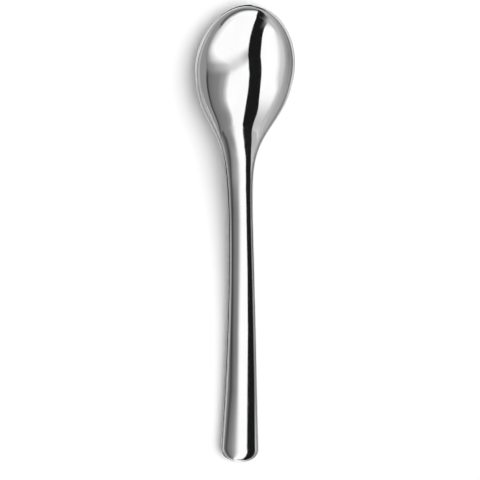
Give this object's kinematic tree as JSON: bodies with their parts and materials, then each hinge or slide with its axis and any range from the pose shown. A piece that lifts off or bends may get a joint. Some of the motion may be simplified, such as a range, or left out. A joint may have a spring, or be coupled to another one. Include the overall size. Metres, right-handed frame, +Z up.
{
  "type": "soup spoon",
  "caption": "Polished steel soup spoon with an egg-shaped bowl, a slim raised neck and a hollow dished handle that flares to a rounded end.",
  "frame": {"origin": "on the table below the middle of the spoon's length and width, with the spoon lying face up", "axes": "+Y along the spoon towards the bowl's tip, +Z up out of the bowl, +X to the right seen from above with the bowl at the top"},
  "size_m": [0.0452, 0.1998, 0.0162],
  "materials": {
    "polished_steel": "mirror-polished stainless steel with fine use marks",
    "braze": "silver braze, ground and polished flush with the steel",
    "cement": "set filler cement, matt and grainy"
  },
  "bodies": {
    "root": {"bowl": "polished_steel", "handle_upper_shell": "polished_steel", "handle_lower_shell": "polished_steel", "seam_braze": "braze", "neck_braze": "braze", "tang_cement": "cement"}
  },
  "joints": []
}
